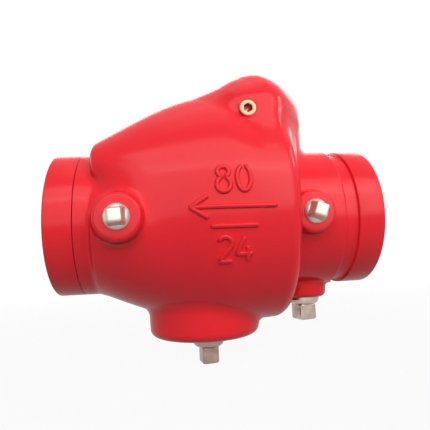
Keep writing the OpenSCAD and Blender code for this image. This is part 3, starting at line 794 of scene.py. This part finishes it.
# %% Strokes
def stroke(line, half_w=1.4, high=1.5, step=0.45):
    """Grid of one ridge. The line of (x, z) points is cut into even steps, the ridge's height
    across it is high*(1 - u^4) for u from -1 to 1, and its width closes in a half circle at both
    ends. Beyond u = 1 it dips under the casing's surface."""
    line = np.array(line, float)
    run = np.concatenate([[0], np.cumsum(np.hypot(*np.diff(line, axis=0).T))])
    s = np.linspace(0, run[-1], max(int(run[-1] / step), 6))
    mid = np.stack([np.interp(s, run, line[:, 0]), np.interp(s, run, line[:, 1])], 1)
    way = np.gradient(mid, axis=0)
    way /= np.linalg.norm(way, axis=1)[:, None]
    across = np.stack([-way[:, 1], way[:, 0]], 1)
    end = np.minimum(s, run[-1] - s)
    full = np.sqrt(np.clip(1 - (1 - np.clip(end / half_w, 0, 1)) ** 2, 0, 1))
    u = np.array([-1.35, -1.0, -0.8, -0.5, 0, 0.5, 0.8, 1.0, 1.35])
    flat = mid[:, None] + u[None, :, None] * half_w * full[:, None, None] * across[:, None]
    lift = np.where(np.abs(u) > 1, -0.5, high * (1 - np.abs(u) ** 4))
    lift = lift * np.clip(full[:, None], 0.05, 1) - 0.05
    start = np.stack([flat[..., 0], np.zeros(flat.shape[:2]), flat[..., 1]], -1)
    skin = along_rays(casing_form, start, np.broadcast_to(np.array(FRONT, float), start.shape))
    top = skin + lift[..., None] * np.array(FRONT)
    under = skin[:, ::-1] - 0.9 * np.array(FRONT)
    return np.concatenate([top, under], 1)


def ridge_piece(name, lines):
    """Several strokes as one piece; each stroke's two ends close on one point."""
    points, quads, first = [], [], 0
    for line in lines:
        rows = stroke(line)
        head, tail = rows[:1].mean(1, keepdims=True), rows[-1:].mean(1, keepdims=True)
        rows = np.concatenate([np.broadcast_to(head, rows[:1].shape), rows,
                               np.broadcast_to(tail, rows[:1].shape)])
        points.append(rows.reshape(-1, 3))
        quads.append(grid_faces(*rows.shape[:2], False, True) + first)
        first += rows.shape[0] * rows.shape[1]
    make_piece(name, np.concatenate(points), np.concatenate(quads), ENAMEL, "casing")


def arc(x, z, rx, rz, from_deg, to_deg, n=24):
    """Points on an ellipse's arc."""
    a = np.radians(np.linspace(from_deg, to_deg, n))
    return np.stack([x + rx * np.cos(a), z + rz * np.sin(a)], 1)


figure_8 = [arc(-98.6, 20.6, 3.1, 2.8, -80, 280), arc(-98.6, 13.6, 3.7, 3.9, 100, 440)]
figure_0 = [arc(-87.6, 17.0, 3.7, 6.9, 90, 445)]
figure_2 = [np.concatenate([arc(-98.8, -17.4, 3.6, 3.5, 165, -40), [(-102.2, -26.6)]]),
            [(-102.4, -26.8), (-94.6, -26.8)]]
figure_4 = [[(-88.4, -14.0), (-92.4, -23.0), (-83.6, -23.0)], [(-86.6, -18.6), (-86.6, -27.2)]]
ridge_piece("size_mark", figure_8 + figure_0)
ridge_piece("flow_arrow", [[(-70, 2), (-116, 2)], [(-107, 8), (-116.6, 2), (-107, -4)]])
ridge_piece("mark_bar", [[(-106.5, -8.2), (-80.5, -8.2)]])
ridge_piece("cavity_mark", figure_2 + figure_4)

# %% [markdown]
# ## Finishes of the inner parts
# The clapper is a ductile-iron casting in a thin dark coat. The seat ring and the bushes are turned
# bronze, whose tool marks run round the pipe's axis. The facing is moulded rubber, and the shaft,
# spacers, plate, washer and spring are stainless steel.


# %% Iron, bronze, rubber and steel
def turned_bronze():
    """Bronze with fine rings round the X axis from the lathe's tool."""
    material, tree = new_material("turned_bronze")
    marks = add_node(tree, "ShaderNodeTexWave", {"wave_type": "RINGS", "rings_direction": "X"},
                     Vector=object_space(tree), Scale=628.0, Distortion=0.4)
    tone = drifting_colour(tree, noise(tree, 60.0, 3.0), ("#a9752f", "#d6a460"))
    shader = add_node(tree, "ShaderNodeBsdfPrincipled", Base_Color=tone, Metallic=1.0,
                      Roughness=0.3, Normal=dented(tree, marks.outputs["Fac"], 0.1, 0.0001))
    finish_material(tree, shader)
    return material


IRON = clouded("dark_coated_ductile_iron", ("#2b2c2e", "#3f4042"), (0.42, 0.6), 0.35,
               (70.0, 3.0), 350.0, (0.35, 0.0006))
BRONZE = turned_bronze()
RUBBER = clouded("moulded_black_rubber", ("#141415", "#1f1f20"), (0.5, 0.62), 0.0,
                 (120.0, 3.0), 1600.0, (0.15, 0.0002))
STEEL = clouded("stainless_steel", ("#9a9a9c", "#c3c3c4"), (0.18, 0.32), 1.0,
                (90.0, 3.0), 900.0, (0.12, 0.0002))

# %% [markdown]
# ## Round inner parts
# Every round part is a profile turned about the pipe's axis or about the hinge's axis. A profile
# that ends on the axis closes in a pole. Any other profile is a closed loop, so the part is a ring.


# %% Lathe
def lathe(name, profile, edge, axis_point, axis, material, body, node=None, columns=128):
    """Turned part. profile is (distance along the axis, radius), and its corners are rounded by
    edge."""
    ring_shaped = profile[0][1] > 0
    line = softened(profile, edge, 4, closed=ring_shaped)
    points = turned(line, axis_point, axis, columns)
    made = make_piece(name, points, grid_faces(len(line), columns, ring_shaped, True), material,
                      body)
    if node:
        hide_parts(node)


def box_loop(a0, a1, r0, r1):
    """Closed profile of a plain ring."""
    return [(a0, r0), (a0, r1), (a1, r1), (a1, r0)]


ORIGIN, ALONG_X, ALONG_Y = (0, 0, 0), (1, 0, 0), (0, 1, 0)
HINGE = (SHAFT_X, 0, SHAFT_Z)
NOSE_X, SEAL_X, DISC_X, DISC_BACK_X, HUB_BACK_X = -59.0, -59.3, -63.3, -70.3, -75.8
PLATE_X, WASHER_X = -56.3, -54.3
BOLT_HOLE_R, SHAFT_R, SHAFT_HOLE_R = 5.05, 4, 4.05
ORING_X, ORING_R, ORING_CORD_R, ORING_SIDES = -48.6, 35.8, 1.2, 16

lathe("seat_ring_turned",
      [(NOSE_X, 33), (NOSE_X, 37), (-50.1, 37), (-50.1, 34.6), (-47.1, 34.6), (-47.1, 37),
       (FLANGE_X, 37), (FLANGE_X, 38.3), (-43.5, 38.3), (-43.5, 33)], 0.45,
      ORIGIN, ALONG_X, BRONZE, "casing", "seat_ring", 192)
o_angle = round_angles(ORING_SIDES)
o_loop = np.stack([ORING_X + ORING_CORD_R * np.cos(o_angle),
                   ORING_R + ORING_CORD_R * np.sin(o_angle)], 1)
o_ring = make_piece("seat_oring_moulded", turned(o_loop, ORIGIN, ALONG_X, 160),
                    grid_faces(ORING_SIDES, 160, True, True), RUBBER, "casing")
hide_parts("seat_oring")
lathe("clapper_disc",
      [(DISC_X, 0), (DISC_X, 37.8), (DISC_BACK_X, 37.8), (DISC_BACK_X, 16), (-71.2, 13.4),
       (-73.0, 12.2), (HUB_BACK_X, 12), (HUB_BACK_X, 0)], 1.3,
      ORIGIN, ALONG_X, IRON, "clapper_set", "clapper", 192)
lathe("clapper_facing", box_loop(DISC_X, SEAL_X, BOLT_HOLE_R, 37.5), 0.8,
      ORIGIN, ALONG_X, RUBBER, "clapper_set", "clapper_seal", 192)
lathe("facing_plate", box_loop(SEAL_X, PLATE_X, BOLT_HOLE_R, 30), 0.6,
      ORIGIN, ALONG_X, STEEL, "clapper_set", "seal_retainer", 160)
lathe("bolt_washer_turned", box_loop(PLATE_X, WASHER_X, BOLT_HOLE_R, 12), 0.35,
      ORIGIN, ALONG_X, STEEL, "clapper_set", "bolt_washer")
lathe("hinge_shaft_turned", [(-38.5, 0), (-38.5, SHAFT_R), (38.5, SHAFT_R), (38.5, 0)], 0.6,
      HINGE, ALONG_Y, STEEL, "casing", "hinge_shaft", 64)
for side, place in ((-1, "front"), (1, "rear")):
    lathe(f"hinge_bush_{place}_turned", box_loop(side * 30, side * 38.8, SHAFT_HOLE_R, 5), 0.3,
          HINGE, ALONG_Y, BRONZE, "casing", f"hinge_bush_{place}", 64)
    lathe(f"shaft_spacer_{place}_turned", box_loop(side * 16.3, side * 30, SHAFT_HOLE_R, 6), 0.5,
          HINGE, ALONG_Y, STEEL, "casing", f"shaft_spacer_{place}", 64)
    lathe(f"inner_shaft_boss_{place}",
          [(side * 30, 5.05), (side * 30, 10), (side * 37, 10.2), (side * 39.5, 12.5),
           (side * 41, 13), (side * 41, 5.05)], 1.2,
          HINGE, ALONG_Y, ENAMEL, "casing", None, 96)

# %% [markdown]
# ## Hexagons
# The bolt's head and the sockets of the shaft plugs are hexagons. Their radius at an angle is half
# the width across flats over the cosine of the angle from the nearest flat's middle.


# %% Bolt and shaft plugs
def hexagon(flats, angle, soft=0.0):
    """Radius of a hexagon at each angle; soft trims its corners by a circle."""
    off = (angle + math.pi / 6) % (math.pi / 3) - math.pi / 6
    reach = flats / 2 / np.cos(off)
    return np.minimum(reach, flats / 2 / math.cos(math.pi / 6) - soft)


def round_grid(name, rows, axis_point, axis, material, body, node, columns=144):
    """Part from rows of (distance along the axis, radius or radii round it), closed by a pole at
    each end."""
    radii = np.stack([np.broadcast_to(np.asarray(r, float), (columns,)) for _, r in rows])
    ring = turned([(0.0, 1.0)], ORIGIN, axis, columns)[0]
    along = np.array([h for h, _ in rows])[:, None, None] * np.array(axis, float)
    points = np.array(axis_point, float) + along + radii[..., None] * ring[None]
    made = make_piece(name, points, grid_faces(len(rows), columns, False, True), material, body)
    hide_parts(node)


HEAD_FLATS, SOCKET_FLATS = 17, 4.8
hex_angle = round_angles(144)
head = hexagon(HEAD_FLATS, hex_angle, 0.15)
rows = [(-72.5, 0), (-72.5, 4.6), (-72.1, 5), (-54.35, 5), (WASHER_X, 8.0), (-54.05, 8.1),
        (-53.95, np.minimum(head, 9.2))]
rows += [(WASHER_X + h, np.minimum(head, 8.1 + (6.4 - h) * 1.7))
         for h in (0.6, 2, 4, 5.2, 5.5, 5.8, 6.1, 6.4)]
rows += [(-47.88, 7.7), (-47.88, 4), (-47.88, 0)]
round_grid("retainer_bolt_forged", rows, ORIGIN, ALONG_X, ZINC, "clapper_set",
           "retainer_bolt")
socket = hexagon(SOCKET_FLATS, hex_angle)
for side, place in ((-1, "front"), (1, "rear")):
    rows = [(39.5, 0), (39.5, 4.7), (40, 5.15), (45.9, 5.15), (46.2, 5.08), (46.55, 4.75),
            (46.7, 4.45), (46.7, 3.4), (46.7, socket + 0.15), (46.58, socket), (44.5, socket),
            (42.9, socket), (42.8, socket * 0.97), (41.9, 0)]
    round_grid(f"shaft_plug_{place}_turned", rows, HINGE, (0, side, 0), YELLOW_ZINC, "casing",
               f"shaft_plug_{place}")

# %% [markdown]
# ## Arms of the clapper
# Each arm is flat, with a round eye on the shaft and a long foot on the disc's back. Its outline
# and the eye's hole are two closed lines with the same number of points, and the grid runs hole,
# side, rounded edge, rim, edge, side.

# %% Arms
EYE_R, EYE_POINTS = 9, 40
FOOT = [(-4.4, -19.7), (-1.0, -37.7), (1.0, -52.0), (10.6, -58.0), (10.6, -26.1), (8.9, -10.0)]
FOOT_SOFTNESS = 0.25


def arm_outline(columns):
    """The arm's outline in even steps, as (x, z) from the shaft. The foot's corners are drawn
    towards the softened line."""
    eye = np.radians(np.linspace(-12, 190, EYE_POINTS))
    eye = EYE_R * np.stack([np.cos(eye), np.sin(eye)], 1)
    sharp = np.array(FOOT)
    soft = softened(np.concatenate([eye[-1:], sharp, eye[:1]]), 3.5, 2)[1:-1][::2]
    foot = soft * FOOT_SOFTNESS + sharp * (1 - FOOT_SOFTNESS)
    loop = np.concatenate([eye, foot, eye[:1]])
    run = np.concatenate([[0], np.cumsum(np.linalg.norm(np.diff(loop, axis=0), axis=1))])
    s = np.linspace(0, run[-1], columns, endpoint=False)
    return np.stack([np.interp(s, run, loop[:, k]) for k in (0, 1)], 1)


def arm(name, y0, y1, columns=192, edge=1.3):
    """One arm between y0 and y1: a grid closed in both directions."""
    line = arm_outline(columns)
    way = np.roll(line, -1, 0) - np.roll(line, 1, 0)
    way /= np.linalg.norm(way, axis=1)[:, None]
    inward = np.stack([-way[:, 1], way[:, 0]], 1)
    angle = np.arctan2(line[:, 1], line[:, 0])
    hole = SHAFT_HOLE_R * np.stack([np.cos(angle), np.sin(angle)], 1)
    rim = [(edge * (1 - math.sin(a)), line + inward * edge * (1 - math.cos(a)))
           for a in np.radians([0, 22, 45, 68, 90])]
    rows = [(y0, hole), *[(y0 + h, p) for h, p in rim[::-1]], *[(y1 - h, p) for h, p in rim],
            (y1, hole)]
    points = [np.stack([SHAFT_X + p[:, 0], np.full(columns, y), SHAFT_Z + p[:, 1]], 1)
              for y, p in rows]
    make_piece(name, points, grid_faces(len(rows), columns, True, True), IRON, "clapper_set")


arm("clapper_arm_front", -16.0, -9.0)
arm("clapper_arm_rear", 9.0, 16.0)

# %% [markdown]
# ## Torsion spring
# The wire follows a line: a leg down the clapper's back, six turns round the shaft and a leg
# against the hump's roof. Its sides are turned to the hinge's axis.

# %% Spring
COIL_R, COIL_HALF, WIRE_R, TURNS, LEG_DEG = 8.4, 7.7, 1.0, 6, 53.0
LOW_LEG, HIGH_LEG = 36.0, 19.4
COIL_POINTS, LOW_POINTS, HIGH_POINTS = 360, 12, 10


def sweep(path, radius, sides=14):
    """Round wire along a path of points; both ends are domed and close in a pole."""
    way = np.gradient(path, axis=0)
    way /= np.linalg.norm(way, axis=1)[:, None]
    out = np.cross(way, (0.0, 1.0, 0.0))
    out /= np.linalg.norm(out, axis=1)[:, None]
    up = np.cross(out, way)
    a = round_angles(sides)
    rim = out[:, None] * np.cos(a)[None, :, None] + up[:, None] * np.sin(a)[None, :, None]

    def dome(at, sign):
        """Rings of one rounded end, from its pole on."""
        return [path[at, None] + sign * way[at, None] * radius * math.cos(t) * 0.6
                + rim[at] * radius * math.sin(t) for t in np.radians([0, 30, 60])]

    start, end = dome(slice(0, 1), -1), dome(slice(-1, None), 1)
    return np.concatenate([*start, path[:, None] + radius * rim, *end[::-1]])


coil_turn = np.radians(np.linspace(0, 360 * TURNS + LEG_DEG, COIL_POINTS))
coil = np.stack([COIL_R * np.cos(coil_turn), np.linspace(-COIL_HALF, COIL_HALF, COIL_POINTS),
                 COIL_R * np.sin(coil_turn)], 1)
low = np.stack([np.full(LOW_POINTS, COIL_R), np.full(LOW_POINTS, -COIL_HALF),
                np.linspace(-LOW_LEG, -1.0, LOW_POINTS)], 1)
leg = np.linspace(HIGH_LEG / HIGH_POINTS, HIGH_LEG, HIGH_POINTS)[:, None]
leg_turn = math.radians(LEG_DEG)
high = coil[-1] + leg * np.array([[-math.sin(leg_turn), 0, math.cos(leg_turn)]])
wire = sweep(np.concatenate([low, coil, high]) + np.array(HINGE, float), WIRE_R)
spring = make_piece("clapper_spring_wire", wire, grid_faces(*wire.shape[:2], False, True), STEEL,
                    None)
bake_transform(spring)
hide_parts("clapper_spring")
